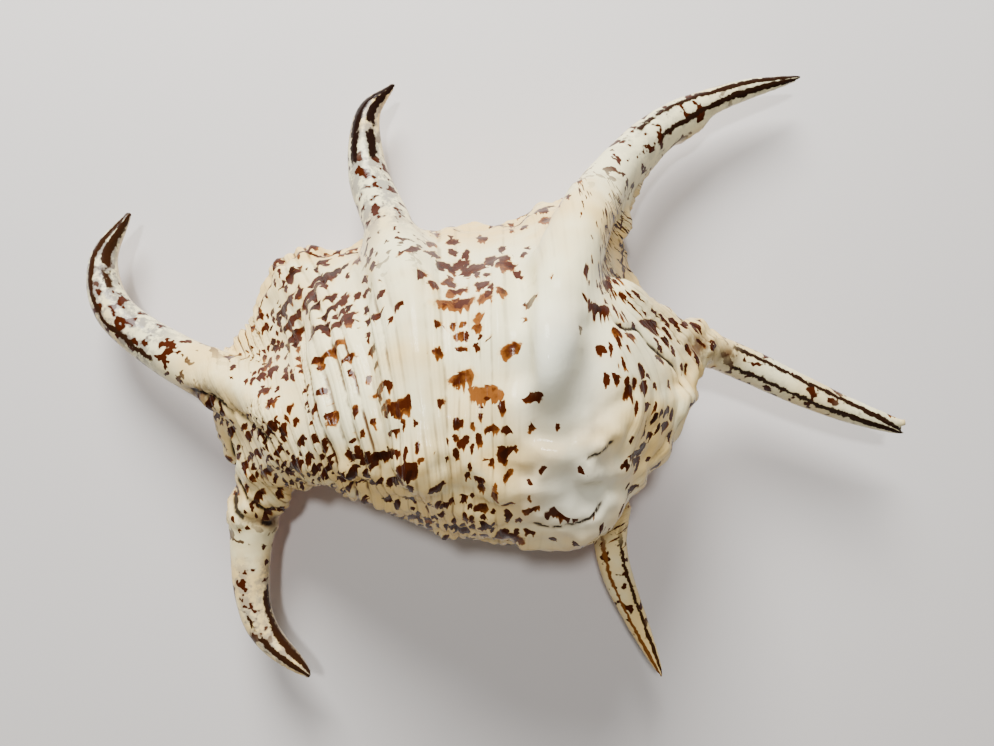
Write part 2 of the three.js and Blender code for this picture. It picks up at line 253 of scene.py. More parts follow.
shellForm = {
    "step": (0.75, 1.25, 1.2),
    "quickStep": (1.3, 1.4, 1.4),
    "low": (-131, -98, -3),
    "high": (128, 99, 87),
    # Body whorl and spire: x, centre y and z, half width and half height.
    "whorl": [
        (-81, -19, 15, 2, 2), (-73, -17, 18, 10, 10), (-62, -15, 23, 17, 20), (-46, -12, 29, 20, 27),
        (-30, -10, 33, 27, 33), (-14, -9, 35, 34, 36), (2, -9, 37, 37, 38), (14, -9, 37, 37, 38),
        (24, -9, 37, 35, 35), (31, -8, 38, 30, 30), (41, -7, 39, 20, 19), (50, -6, 40, 7, 8),
        (54, -6, 40, 1, 1)],
    "squareness": 2.15,
    # The lip in plan.
    "lip": [
        (-88, -8), (-83, 6), (-77, 12), (-74, 19), (-71, 30), (-61, 37), (-46, 38), (-33, 43), (-11, 45),
        (1, 46), (14, 51), (36, 56), (38, 42), (42, 28), (52, 15), (52, 0), (38, -12), (0, -22), (-50, -27),
        (-80, -28), (-84, -22)],
    # The lip's back rises towards a crest: low at both ends and on the far side.
    "crest": {"low": 20, "high": 72, "front": (-92, -26), "rear": (24, 60), "side": (-25, 5)},
    "rimTop": 15,
    "rimBottom": 5,
    "run": 24,
    "padInset": 14,
    "padSink": 0.8,
    "rimPuff": 1.6,
    # How far the lip is rounded between its top and bottom, and round its rim.
    "lipRounding": (6, 7),
    # Digits and canals: points from the root to the tip, full and tip radius, how late each thins, and how
    # softly it joins the rest.
    "digits": {
        "frontLip": {
            "path": [
                (-45, -18, 43), (-72, -6, 28), (-99, 6, 18), (-117, 19, 15), (-122, 35, 12), (-115, 50, 10)],
            "full": 8, "tip": 2, "power": 3, "blend": 7},
        "middleLip": {
            "path": [
                (-18, -20, 67), (-22, 14, 54), (-31, 41, 27), (-39, 60, 16), (-40, 79, 13), (-32, 90, 11)],
            "full": 7.7, "tip": 1.5, "power": 5, "blend": 8},
        "rearLip": {
            "path": [(12, 9, 70), (21, 36, 49), (33, 57, 26), (50, 75, 16), (72, 86, 13), (94, 92, 11)],
            "full": 8, "tip": 2, "power": 2, "blend": 9},
        "spireSide": {
            "path": [(33, 20, 49), (51, 10, 34), (70, 4, 23), (95, -7, 20), (122, -18, 19)],
            "full": 5.3, "tip": 2, "power": 4, "blend": 6},
        "rearCanal": {
            "path": [(31, -20, 20), (34, -44, 15), (37, -62, 14), (50, -92, 17)],
            "full": 6, "tip": 1.5, "power": 2, "blend": 3},
        "frontCanal": {
            "path": [
                (-58, -20, 24), (-70, -32, 19), (-75, -48, 15), (-75, -68, 15), (-70, -80, 16),
                (-57, -91, 18)],
            "full": 12, "tip": 3, "power": 0.6, "blend": 4},
    },
    # A digit is thinner at its root, over this share of its length, and rounded at its tip.
    "rootShare": 0.7,
    "rootLength": 0.3,
    "tipShare": 0.4,
    "tipSharpness": 16,
    "tubeSpacing": 2,
    # Low webs beside the digits and the second point of the split tip, as tubes.
    "webs": [
        ((61, 77, 12, 2.5), (48, 70, 13, 4), (42, 64, 15, 4.5), (37, 55, 17, 5), (34, 45, 22, 5)),
        ((42, 6, 40, 6), (50, 2, 37, 5.5), (54, 2, 35, 3.5))],
    "fork": ((106, -11, 20, 2.8), (114, -13, 20, 2), (121, -15, 21, 1)),
    # Knobs on the back: centre, half sizes, blend and turn.
    "knobs": [
        ((11.3, 1.5, 68), (7.4, 12, 14), 4, 0.0),
        ((16.5, -16.5, 65.5), (9.5, 7.5, 9.5), 5, 0.1),
        ((20, -34, 56), (12, 8.5, 11.5), 6, 0.2)],
    # The aperture seen from above: x, y, half width and the height of its arch.
    "aperture": [
        (-76, -46, 2, 9), (-73, -38, 2.6, 10), (-65, -24, 3.2, 13), (-51, -9, 4, 17), (-32, 2, 5.4, 22),
        (-8, 7, 6, 24), (13, 5, 5.6, 24), (27, -5, 4.4, 20), (33, -19, 3.2, 13), (35, -46, 2, 9)],
    # The slit widens below this height, by this share of the way down, and its arch is rounded this far.
    "apertureFlare": (7, 0.25),
    "archRounding": 5,
    # The hollow about the axis: angle in degrees, distance, half depth, x and half length.
    "hollow": [
        (-75, 20, 9, -5, 32), (-45, 23, 12.5, -2, 30), (-15, 24, 13.5, 0, 28), (15, 20.5, 10.5, 2, 26),
        (60, 19.5, 11.5, 4, 25), (115, 19, 9, 8, 21), (178, 19, 6, 14, 14)],
    "hollowSpacing": 8,
    "hollowWidth": 9,
    "axis": (-9, 37),
    # The canals' channels: rows left out at the root and the tip, then drop and radius as shares of the
    # canal's own radius.
    "channel": {
        "canals": ("frontCanal", "rearCanal"), "rootRows": 8, "tipRows": 6, "drop": 0.85, "radius": 0.42},
    # How softly the parts run into each other.
    "blends": {
        "lip": 9, "webs": 6, "fork": 1.5, "aperture": 2.5, "hollow": 2, "channel": 1, "floor": 0.8},
    # How the skin is drawn onto the zero level: rounds, share of the way and least slope.
    "settling": (3, 0.8, 0.2),
    "normalReach": 0.9,
    "lowest": 0.02,
    # Folds and swells are only where the skin faces up by this much, and fade out over these end shares.
    "foldFacing": (-0.1, 0.4),
    "foldFade": 0.12,
    "swellFade": 0.2,
    # Folds and old growth edges, in plan: depth, width, then the points they follow.
    "folds": [
        (1.5, 1.1, (-92, -5), (-81, -6), (-74, -10), (-66, -14), (-58, -19)),
        (1.4, 1.3, (-80, -17), (-79, -27), (-75, -36), (-66, -42)),
        (1.0, 1.1, (-82, -29), (-79, -38), (-73, -44), (-65, -46)),
        (1.2, 0.7, (27, 14), (31, 11), (35, 11), (38, 8), (42, 5), (47, 1), (50, -6)),
        (0.7, 0.5, (7, -35), (12, -37), (18, -36), (22, -34), (26, -29)),
        (0.7, 0.6, (20, -20), (24, -18), (28, -15))],
    # Low swells and dips: height, width, then the points they follow.
    "swells": [
        (2.4, 3.4, (-88, 2), (-75, -3), (-63, -9), (-52, -15)),
        (2.2, 4.2, (-26, 40), (-20, 12), (-17, -12), (-16, -34)),
        (1.0, 5.0, (27, 48), (20, 30), (13, 16)),
        (-1.8, 5.0, (-10, 36), (-9, 5), (-8, -12)),
        (1.2, 1.8, (1, 38), (1, 5), (1, -40)),
        (-1.8, 2.6, (-36, 30), (-32, 5), (-25, -30)),
        (-3.4, 3.6, (6, 32), (4, 8), (4, -8)),
        (-1.1, 4.0, (23, 16), (23, 0), (25, -12)),
        (-1.0, 2.6, (5, -13), (13, -15), (22, -11)),
        (-0.6, 1.5, (35, -2), (27, -8), (19, -13)),
        (1.4, 2.6, (-50, 28), (-46, 5), (-40, -20)),
        (-1.3, 2.2, (-56, 24), (-53, 5), (-47, -16))],
    # How far the surface is uneven: size of the bumps and their height, and how much less on plain places.
    "unevenness": [(17, 0.6), (8, 0.2), (3.5, 0.14)],
    "evened": 0.6,
    # The growing edge is crinkled more than the rest: how far in, then size and height of the crinkles.
    "edgeReach": 9,
    "edgeCrinkle": [(7, 1.7), (3.4, 1.0)],
    "edgeSeed": 15,
    "seed": 5,
    # Nothing is carved at the foot: where that sets in.
    "carveFoot": (0.3, 4),
}


# A digit as rows of x, y, z and radius.
def digitRows(digit, form):
    points = smoothRows(digit["path"], form["tubeSpacing"])
    share = np.linspace(0, 1, len(points))
    body = digit["tip"] + (digit["full"] - digit["tip"]) * (1 - share ** digit["power"])
    root = form["rootShare"] + (1 - form["rootShare"]) * smoothStep(0, form["rootLength"], share)
    rounding = 1 - (1 - form["tipShare"]) * share ** form["tipSharpness"]
    return np.column_stack([points, body * root * rounding])


# The whorl's rows close together, in order along x.
def whorlRows(form):
    rows = smoothRows(form["whorl"], 0.5)
    return rows[np.argsort(rows[:, 0])]


# The body whorl and the spire as squared ellipses strung along x.
def whorlField(grid, form):
    rows = whorlRows(form)
    x, y, z = grid.axes
    cy, cz, ry, rz = (np.interp(x, rows[:, 0], rows[:, n]) for n in (1, 2, 3, 4))
    p = form["squareness"]
    v = np.abs((y[None, :] - cy[:, None]) / ry[:, None]) ** p
    w = np.abs((z[None, :] - cz[:, None]) / rz[:, None]) ** p
    size = np.sqrt(ry * rz)
    slope = np.sqrt(1 + np.gradient(size, x) ** 2)
    field = ((v[:, :, None] + w[:, None, :]) ** (1 / p) - 1) * (size / slope)[:, None, None]
    past = np.maximum(np.maximum(rows[0, 0] - x, x - rows[-1, 0]), 0)
    return (field + past[:, None, None]).astype(np.float32)


def lipOutline(form):
    return smoothRows(form["lip"] + form["lip"][:1], 1.5)[:, :2]


# How far each place is inside the lip's rim, seen from above.
def rimInset(x, y, form):
    outline = lipOutline(form)
    gap, _ = planDistance(x, y, outline)
    return np.where(isInside(x, y, outline), gap, -gap)


# The flared lip: a plate that is thin at its rim and rises to the whorl.
def lipField(grid, form):
    x, y = np.meshgrid(grid.axes[0], grid.axes[1], indexing="ij")
    z = grid.axes[2][None, None, :]
    inset = rimInset(x, y, form)
    crest = form["crest"]
    along = smoothStep(*crest["front"], x) * smoothDrop(*crest["rear"], x)
    height = crest["low"] + (crest["high"] - crest["low"]) * along * smoothStep(*crest["side"], y)
    depth = np.maximum(inset, 0)
    top = form["rimTop"] + (height - form["rimTop"]) * (1 - np.exp(-depth / form["run"]))
    bottom = form["rimBottom"] * np.minimum(1, (depth / form["padInset"] - 1) ** 2) - form["padSink"]
    gx, gy = np.gradient(top, grid.step[0], grid.step[1])
    steep = np.sqrt(1 + gx * gx + gy * gy)
    upper = (z - top[:, :, None]) / steep[:, :, None]
    lower = bottom[:, :, None] - z
    flatRounding, rimRounding = form["lipRounding"]
    plate = smoothMax(upper, lower, flatRounding)
    return smoothMax(plate, -inset[:, :, None] - form["rimPuff"], rimRounding).astype(np.float32)


def apertureRows(form):
    return smoothRows(form["aperture"], 1.5)


# The arched slit from canal to canal, opening a little at the bottom.
def apertureField(grid, form):
    x, y = np.meshgrid(grid.axes[0], grid.axes[1], indexing="ij")
    z = grid.axes[2][None, None, :]
    rows = apertureRows(form)
    gap, where = planDistance(x, y, rows[:, :2])
    place = np.linspace(0, 1, len(rows))
    width = np.interp(where, place, rows[:, 2])
    top = np.interp(where, place, rows[:, 3])
    flareTop, flareShare = form["apertureFlare"]
    sides = (gap - width)[:, :, None] - np.maximum(flareTop - z, 0) * flareShare
    return smoothMax(sides, z - top[:, :, None], form["archRounding"]).astype(np.float32)


# The turning hollow inside the whorl, as overlapping eggs.
def cutHollow(grid, form):
    axisY, axisZ = form["axis"]
    blend = form["blends"]["hollow"]
    for degrees, distance, halfDepth, x, halfLength in smoothRows(form["hollow"], form["hollowSpacing"]):
        angle = math.radians(degrees)
        centre = (x, axisY + distance * math.cos(angle), axisZ + distance * math.sin(angle))
        reach = halfLength + 2 * blend
        cuts, gx, gy, gz = grid.window(np.subtract(centre, reach), np.add(centre, reach))
        dy, dz = gy - centre[1], gz - centre[2]
        radial = (dy * math.cos(angle) + dz * math.sin(angle)) / halfDepth
        across = (dz * math.cos(angle) - dy * math.sin(angle)) / form["hollowWidth"]
        size = np.sqrt(((gx - centre[0]) / halfLength) ** 2 + radial ** 2 + across ** 2)
        grid.merge(cuts, (size - 1) * halfDepth, blend, cut=True)


# The signed distances of the whole shell, and the rows of each digit.
def sculptShell(form):
    grid = Grid(form["low"], form["high"], form["step"])
    blends = form["blends"]
    grid.field = smoothMin(whorlField(grid, form), lipField(grid, form), blends["lip"])
    for centre, half, blend, turn in form["knobs"]:
        grid.egg(centre, half, blend, turn)
    routes = {name: digitRows(digit, form) for name, digit in form["digits"].items()}
    for name, rows in routes.items():
        grid.tube(rows, form["digits"][name]["blend"])
    for rows in form["webs"]:
        grid.tube(smoothRows(rows, form["tubeSpacing"]), blends["webs"])
    grid.tube(smoothRows(form["fork"], form["tubeSpacing"]), blends["fork"])
    print("solid forms joined")
    grid.field = smoothMax(grid.field, -apertureField(grid, form), blends["aperture"])
    cutHollow(grid, form)
    channel = form["channel"]
    for name in channel["canals"]:
        rows = routes[name][channel["rootRows"]:-channel["tipRows"]].copy()
        rows[:, 2] -= rows[:, 3] * channel["drop"]
        rows[:, 3] *= channel["radius"]
        grid.tube(rows, blends["channel"], cut=True)
    grid.field = smoothMax(grid.field, -grid.axes[2][None, None, :] + 0 * grid.field, blends["floor"])
    print("hollows cut")
    return grid, routes


# The nearest place on a tube: distance outside it, share along it, and side from -1 to 1.
def followTube(points, rows):
    best = np.full(len(points), farAway)
    where = np.zeros(len(points))
    side = np.zeros(len(points))
    for n, (start, end) in enumerate(zip(rows[:-1], rows[1:])):
        span = end[:3] - start[:3]
        share = np.clip((points - start[:3]) @ span / max(span @ span, 1e-9), 0, 1)
        offset = points - start[:3] - share[:, None] * span
        radius = start[3] + share * (end[3] - start[3])
        gap = np.linalg.norm(offset, axis=1) - radius
        nearer = gap < best
        turn = (span[0] * offset[:, 1] - span[1] * offset[:, 0]) / (math.hypot(span[0], span[1]) * radius)
        best = np.where(nearer, gap, best)
        where = np.where(nearer, n + share, where)
        side = np.where(nearer, turn, side)
    return best, where / (len(rows) - 1), np.clip(side, -1, 1)


markForm = {
    # Cords lean more towards the front: the lean there, where it fades out along x, and the y it turns about.
    "lean": 0.6,
    "leanEnds": (-75, 5),
    "leanFoot": -15,
    # Marks lie square to the cords, so they tilt where the cords lean.
    "markTilt": 1.1,
    # How far cords wander: size of the bumps, amount, share of y that counts, and seed.
    "wander": (11, 1.3, 0.15, 41),
    # Cords bend round the spire: amount, middle y and where that sets in.
    "spireBend": (0.03, -6, (20, 34)),
    # Cords stand up less or more from here to there along x.
    "cordChanges": [(-0.55, -34, -24), (-0.33, 0, 8), (0.3, 28, 38)],
    # How uneven their height is: middle share, spread, size of the bumps, share of y that counts, and seed.
    "cordHeights": (0.75, 0.9, 4, 0.1, 43),
    # How much lower they are on bare ridges and where they are worn smooth.
    "bareCords": 0.6,
    "smoothCords": 0.75,
    # Marks spread down the steep sides: how much of the drop counts on the far side and on the lip, and how
    # soon that sets in beside the middle.
    "sideShare": (0.42, 0.1),
    "sideWidth": 8,
    # The outside is where the skin faces up by this much and is not within the slit: from and to which share
    # of its length, how far beside it and how high that reaches.
    "facingEnds": (-0.35, 0.15),
    "within": {"start": (0.2, 0.28), "stop": (0.74, 0.82), "beside": (9, 13), "top": (27, 33)},
    # How far from the slit the mouth's rose goes.
    "mouthReach": (10, 34),
    # Fine ribs inside the lip: where they rise and fade out beside the slit, and about how long it is.
    "liraStart": (4, 8),
    "liraStop": (16, 30),
    "slitLength": 190,
    # Ribs of both kinds fade out at the foot.
    "footEnds": (0.5, 3),
    # A digit's own finish fades out off its tube, and sets in along it.
    "digitReach": (0.8, 3.5),
    "digitEnds": (0.28, 0.46),
    # Crowded places: x, y, half sizes, then how crowded, how dark and how coarse the marks are.
    "crowds": [
        (-52, 28, 13, 6, 1.3, 0.95, 1.0), (-49, 15, 10, 6, 1.5, 1.0, 1.0), (-34, 19, 7, 8, 1.3, 0.8, 0.9),
        (-63, 13, 6, 14, 1.3, 0.9, 0.4), (-62, 0, 10, 6, 1.1, 0.5, 0.7), (-46, -3, 10, 9, 0.9, 0.55, 0.4),
        (-38, -23, 17, 7, 1.3, 0.9, 0.5), (-60, -19, 14, 12, 1.2, 0.75, 0.2),
        (-78, -17, 6, 12, 1.2, 0.8, 0.1), (-21, -17, 8, 5, 1.3, 0.5, 0.8),
        (-13, -35, 22, 7, 1.1, 0.65, 0.1), (-9, 31, 15, 4, 1.6, 0.7, 1.0),
        (-7, 16, 10, 11, 1.2, 0.25, 0.8), (-3, -5, 8, 4, 1.2, 0.1, 1.0), (-4, -15, 9, 6, 1.4, 0.65, 0.5),
        (2, -25, 7, 6, 1.2, 0.25, 0.4), (23, 28, 6, 18, 0.9, 0.45, 0.5), (30, 3, 6, 11, 1.0, 0.5, 0.3),
        (37, -15, 7, 21, 0.7, 0.8, 0.0), (33, 45, 8, 17, 1.0, 0.8, 0.2), (29, 28, 7, 13, 1.1, 0.5, 0.4),
        (-31, 48, 9, 9, 0.9, 0.75, 0.2), (9, -45, 11, 4, 1.0, 0.9, 0.2), (50, 9, 12, 6, 0.8, 0.9, 0.1),
        (-86, 2, 14, 8, 0.9, 0.8, 0.2)],
    "everywhere": (0.5, 0.45, 0.3),
    # The spire is barer than the rest: where that sets in, and by how much.
    "spireEnds": (34, 44),
    "spireBare": 0.5,
    # How much barer plain places and bare ridges are.
    "plainBare": 0.97,
    "ridgeBare": 0.9,
    # Places stained brown: x, y and half sizes.
    "stained": [(55, 7, 6, 4), (66, 5, 4, 3), (-66, -45, 6, 3), (-86, -6, 8, 3)],
    # Places where the cords are worn smooth: x, y and half sizes.
    "smooth": [(-60, 26, 13, 12), (-68, -2, 13, 7), (-40, 22, 9, 9)],
    # Plain polished places: x, y and half sizes.
    "plain": [(15, 0, 12, 18), (19, -28, 13, 13)],
    # The growing edge and the front are warmer, and a warm painted shade lies on the canals' side towards the
    # foot: how far and how much.
    "warmReach": 16,
    "warmFront": (-70, -25),
    "frontWarmth": 0.6,
    "shadedFoot": (-62, -42),
    "footShadeWarmth": 0.9,
    # The rim's thin lines stop where the lip joins the whorl.
    "rimEnds": (4, 14),
    "rimHide": 30,
    # Bare ridges: half width, then the points they follow.
    "bare": [
        (3.2, (-27, 42), (-20, 12), (-17, -10)),
        (3.2, (28, 50), (20, 32), (13, 14)),
        (3.5, (-88, 2), (-66, -7))],
    # Stripes on each digit: where the left and right ones start, how brown they are, breadth, halo, and
    # how far they are moved to the left.
    "stripes": {
        "frontLip": (0.5, 0.74, 0.1, 0.1, 1.3, 1.0, -0.15),
        "middleLip": (0.74, 0.76, 0.0, 0.0, 1.3, 0.9, 0.0),
        "rearLip": (0.58, 0.6, 0.05, 0.05, 1.3, 0.4, 0.0),
        "spireSide": (0.4, 0.42, 0.05, 0.05, 1.15, 0.3, 0.0),
        "rearCanal": (0.25, 0.25, 0.15, 1.0, 1.1, 0.1, 0.0),
        "frontCanal": (0.62, 0.68, 0.1, 0.1, 1.15, 0.8, 0.4)},
}


# How much the cords lean at each x.
def leanAt(x, marks):
    return marks["lean"] * smoothDrop(*marks["leanEnds"], x)


# The position across the cords, which is the same all along one cord.
def cordPosition(x, y, marks):
    bend, middle, ends = marks["spireBend"]
    across = x + leanAt(x, marks) * (y - marks["leanFoot"]) + bend * (y - middle) ** 2 * smoothStep(*ends, x)
    size, amount, share, seed = marks["wander"]
    return across + amount * softNoise(np.column_stack([across, y * share, 0 * y]), size, seed)


# Nearness to a place given by its middle and half sizes in plan.
def placeShare(x, y, place):
    px, py, halfX, halfY = place
    return np.exp(-(((x - px) / halfX) ** 2 + ((y - py) / halfY) ** 2) ** 1.5)


def areaShare(x, y, places):
    total = np.zeros(len(x))
    for place in places:
        total = np.maximum(total, placeShare(x, y, place))
    return total


# Nearness to lines in plan, given as half width and points.
def lineShare(x, y, lines):
    total = np.zeros(len(x))
    for width, *line in lines:
        gap, _ = planDistance(x, y, smoothRows(line, 2))
        total = np.maximum(total, np.exp(-(gap / width) ** 4))
    return total


# Positions over the skin in mm, across and along the cords, that keep their spacing on steep places.
def markPosition(points, cord, form, marks):
    x, y, z = points.T
    rows = whorlRows(form)
    stretch = np.sqrt(1 + np.gradient(rows[:, 4], rows[:, 0]) ** 2)
    spread = np.concatenate([[0], np.cumsum((stretch[1:] - 1) * np.diff(rows[:, 0]))])
    drop = np.interp(x, rows[:, 0], rows[:, 2] + rows[:, 4]) - z
    middle = np.interp(x, rows[:, 0], rows[:, 1])
    turned = np.clip((y - middle) / marks["sideWidth"], -1, 1)
    farShare, lipShare = marks["sideShare"]
    tilt = marks["markTilt"] * leanAt(x, marks) * (x - marks["leanEnds"][1])
    down = np.where(turned < 0, farShare, lipShare) * drop * turned
    return cord + np.interp(x, rows[:, 0], spread), y + down - tilt


# What the nearest digit says at each point: the place on it and the kind of its stripes.
def readDigits(points, routes, marks):
    names = (
        "digitShare", "digitAlong", "digitSide", "stripeStart", "stripeBrown", "stripeBreadth", "haloShare")
    values = {name: np.zeros(len(points)) for name in names}
    nearest = np.full(len(points), farAway)
    for digit, rows in routes.items():
        gap, where, turn = followTube(points, rows)
        leftStart, rightStart, leftBrown, rightBrown, breadth, halo, moved = marks["stripes"][digit]
        side = np.clip(turn - moved, -1, 1)
        found = {
            "digitAlong": where,
            "digitSide": side,
            "stripeStart": np.where(side > 0, leftStart, rightStart),
            "stripeBrown": np.where(side > 0, leftBrown, rightBrown),
            "stripeBreadth": breadth,
            "haloShare": halo,
        }
        nearer = gap < nearest
        nearest = np.where(nearer, gap, nearest)
        for name, value in found.items():
            values[name] = np.where(nearer, value, values[name])
        share = smoothDrop(*marks["digitReach"], gap) * smoothStep(*marks["digitEnds"], where)
        values["digitShare"] = np.maximum(values["digitShare"], share)
    return values


# How crowded, dark and coarse the marks are.
def readCrowds(x, y, marks):
    crowded, dark, coarse = (np.full(len(x), value) for value in marks["everywhere"])
    spire = smoothStep(*marks["spireEnds"], x)
    crowded *= 1 - marks["spireBare"] * spire
    coarse *= 1 - spire
    for *place, amount, tone, size in marks["crowds"]:
        share = placeShare(x, y, place)
        crowded = np.maximum(crowded, share * amount)
        dark += (tone - dark) * share
        coarse += (size - coarse) * share
    return crowded, dark, coarse


# How far the cords stand up along x and from one to the next.
def readCords(x, y, cord, marks):
    ridged = np.ones(len(x))
    for change, *ends in marks["cordChanges"]:
        ridged += change * smoothStep(*ends, x)
    low, spread, size, share, seed = marks["cordHeights"]
    return ridged * (low + spread * softNoise(np.column_stack([cord, y * share, 0 * y]), size, seed))


# Everything that the ribs and the finish need to know at each point of the skin.
def readSkin(points, normals, routes, form, marks):
    x, y, z = points.T
    values = readDigits(points, routes, marks)
    offDigit = 1 - values["digitShare"]
    crowded, dark, coarse = readCrowds(x, y, marks)
    slitGap, slitPlace = planDistance(x, y, apertureRows(form)[:, :2])
    slit = marks["within"]
    within = smoothStep(*slit["start"], slitPlace) * smoothDrop(*slit["stop"], slitPlace)
    within *= smoothDrop(*slit["beside"], slitGap) * smoothDrop(*slit["top"], z)
    facing = smoothStep(*marks["facingEnds"], normals[:, 2]) * (1 - within)
    plain = areaShare(x, y, marks["plain"]) * facing
    bare = lineShare(x, y, marks["bare"])
    inset = rimInset(x, y, form)
    warm = smoothDrop(0, marks["warmReach"], inset)
    warm = np.maximum(warm, marks["frontWarmth"] * smoothDrop(*marks["warmFront"], x)) * offDigit
    # Towards the foot, on the digits too, the warm colour is painted shade.
    warm = np.maximum(warm, marks["footShadeWarmth"] * smoothDrop(*marks["shadedFoot"], y))
    cord = cordPosition(x, y, marks)
    markAcross, markAlong = markPosition(points, cord, form, marks)
    foot = smoothStep(*marks["footEnds"], z)
    ridged = readCords(x, y, cord, marks) * (1 - plain) * offDigit * foot * facing
    ridged *= (1 - marks["bareCords"] * bare) * (1 - marks["smoothCords"] * areaShare(x, y, marks["smooth"]))
    lira = smoothStep(*marks["liraStart"], slitGap) * smoothDrop(*marks["liraStop"], slitGap)
    barer = (1 - marks["plainBare"] * plain) * (1 - marks["ridgeBare"] * bare)
    values.update({
        "cordAcross": cord,
        "cordShare": ridged,
        "markAcross": markAcross,
        "markAlong": markAlong,
        "markShare": crowded * barer * facing * offDigit,
        "darkShare": dark,
        "coarseShare": coarse,
        "plainShare": plain,
        "warmEdgeAndFootShade": warm * facing,
        "stainShare": areaShare(x, y, marks["stained"]) * facing,
        "rimDepth": inset + marks["rimHide"] * smoothDrop(*marks["rimEnds"], y),
        "outerShare": facing,
        "mouthShare": smoothDrop(*marks["mouthReach"], slitGap) * (1 - facing),
        "liraAcross": slitPlace * marks["slitLength"],
        "liraShare": lira * offDigit * foot * (1 - facing),
    })
    return values


# 1 along a line, fading out over a share of it at each end.
def fadedEnds(where, share):
    return smoothStep(0, share, where) * smoothDrop(1 - share, 1, where)


# Folds, swells and crinkles, as heights along the normal; the fold's own share is kept for the finish.
def carveSkin(points, normals, form, digit, plain):
    x, y, z = points.T
    facing = smoothStep(*form["foldFacing"], normals[:, 2])
    height = np.zeros(len(x))
    fold = np.zeros(len(x))
    for depth, width, *line in form["folds"]:
        gap, where = planDistance(x, y, smoothRows(line, 1))
        share = np.exp(-(gap / width) ** 2) * fadedEnds(where, form["foldFade"]) * facing
        height -= depth * share
        fold = np.maximum(fold, share)
    for lift, width, *line in form["swells"]:
        gap, where = planDistance(x, y, smoothRows(line, 1))
        height += lift * np.exp(-(gap / width) ** 2) * fadedEnds(where, form["swellFade"]) * facing
    rougher = (1 - form["evened"] * digit) * (1 - form["evened"] * plain)
    for n, (size, amount) in enumerate(form["unevenness"]):
        height += amount * softNoise(points, size, form["seed"] + n) * rougher
    edge = smoothDrop(0, form["edgeReach"], rimInset(x, y, form)) * (1 - digit)
    for n, (size, amount) in enumerate(form["edgeCrinkle"]):
        height += amount * edge * softNoise(points, size, form["edgeSeed"] + n)
    return height * smoothStep(*form["carveFoot"], z), fold


def makeMesh(name, points, quads):
    mesh = bpy.data.meshes.new(name)
    mesh.vertices.add(len(points))
    mesh.vertices.foreach_set("co", (points / perMetre).astype(np.float32).ravel())
    mesh.loops.add(quads.size)
    mesh.loops.foreach_set("vertex_index", quads.astype(np.int32).ravel())
    mesh.polygons.add(len(quads))
    mesh.polygons.foreach_set("loop_start", np.arange(0, quads.size, 4, dtype=np.int32))
    mesh.update(calc_edges=True)
    mesh.polygons.foreach_set("use_smooth", np.ones(len(quads), bool))
    return mesh


# The shell's skin with its attributes, and how far it was moved onto the frame in mm.
def buildShell(form, marks):
    grid, routes = sculptShell(form)
    points, quads = skinOf(grid)
    rounds, pace, leastSlope = form["settling"]
    for _ in range(rounds):
        slope = grid.slope(points)
        points -= (grid.sample(points) / np.maximum((slope ** 2).sum(1), leastSlope))[:, None] * slope * pace
    normals = grid.slope(points, form["normalReach"])
    normals /= np.maximum(np.linalg.norm(normals, axis=1), 1e-6)[:, None]
    print("skin has", len(points), "points and", len(quads), "quads")
    values = readSkin(points, normals, routes, form, marks)
    height, values["foldShare"] = carveSkin(points, normals, form, values["digitShare"], values["plainShare"])
    points = points + normals * height[:, None]
    points[:, 2] = np.maximum(points[:, 2], form["lowest"])
    middle = (points.max(0) + points.min(0)) / 2
    centre = (np.array(boxLow) + np.array(boxHigh)) / 2 * perMetre
    shift = np.array([centre[0] - middle[0], centre[1] - middle[1], 0])
    mesh = makeMesh("shell_skin", points + shift, quads)
    for name, numbers in values.items():
        layer = mesh.attributes.new(name, "FLOAT", "POINT")
        layer.data.foreach_set("value", numbers.astype(np.float32))
    piece = bpy.data.objects.new("shell_body", mesh)
    bpy.context.scene.collection.objects.link(piece)
    return piece, shift


shell, shift = buildShell(shellForm, markForm)


# Short calls for wiring a node tree.
class Wiring:
    def __init__(self, tree):
        self.tree = tree

    def add(self, kind, **settings):
        node = self.tree.nodes.new(kind)
        for name, value in settings.items():
            setattr(node, name, value)
        return node

    def feed(self, socket, value):
        if isinstance(value, bpy.types.NodeSocket):
            self.tree.links.new(value, socket)
        else:
            socket.default_value = value

    def math(self, operation, *values):
        node = self.add("ShaderNodeMath", operation=operation)
        for socket, value in zip(node.inputs, values):
            self.feed(socket, value)
        return node.outputs[0]

    def chain(self, operation, first, *others):
        for other in others:
            first = self.math(operation, first, other)
        return first

    def sum(self, *terms):
        return self.chain("ADD", *terms)

    def times(self, *factors):
        return self.chain("MULTIPLY", *factors)

    def less(self, value, taken):
        return self.math("SUBTRACT", value, taken)

    def invert(self, value):
        return self.less(1.0, value)

    def size(self, value):
        return self.math("ABSOLUTE", value)

    # Round ribs with narrow grooves between them, one to each half turn of the angle.
    def ribs(self, angle):
        return self.size(self.math("SINE", angle))

    # Rises smoothly from 0 to 1 as the value goes from low to high.
    def rise(self, value, low, high):
        node = self.add("ShaderNodeMapRange", interpolation_type="SMOOTHSTEP")
        for socket, number in zip(node.inputs, (value, low, high, 0.0, 1.0)):
            self.feed(socket, number)
        return node.outputs[0]


# Spacings of cords and lirae are in mm; the rest is in metres.
ribForm = {
    "Cord Spacing": 2.9,
    "Cord Height": 0.0013,
    "Growth Spacing": 0.00085,
    "Growth Height": 0.00012,
    "Lira Spacing": 3.4,
    "Lira Height": 0.0005,
}


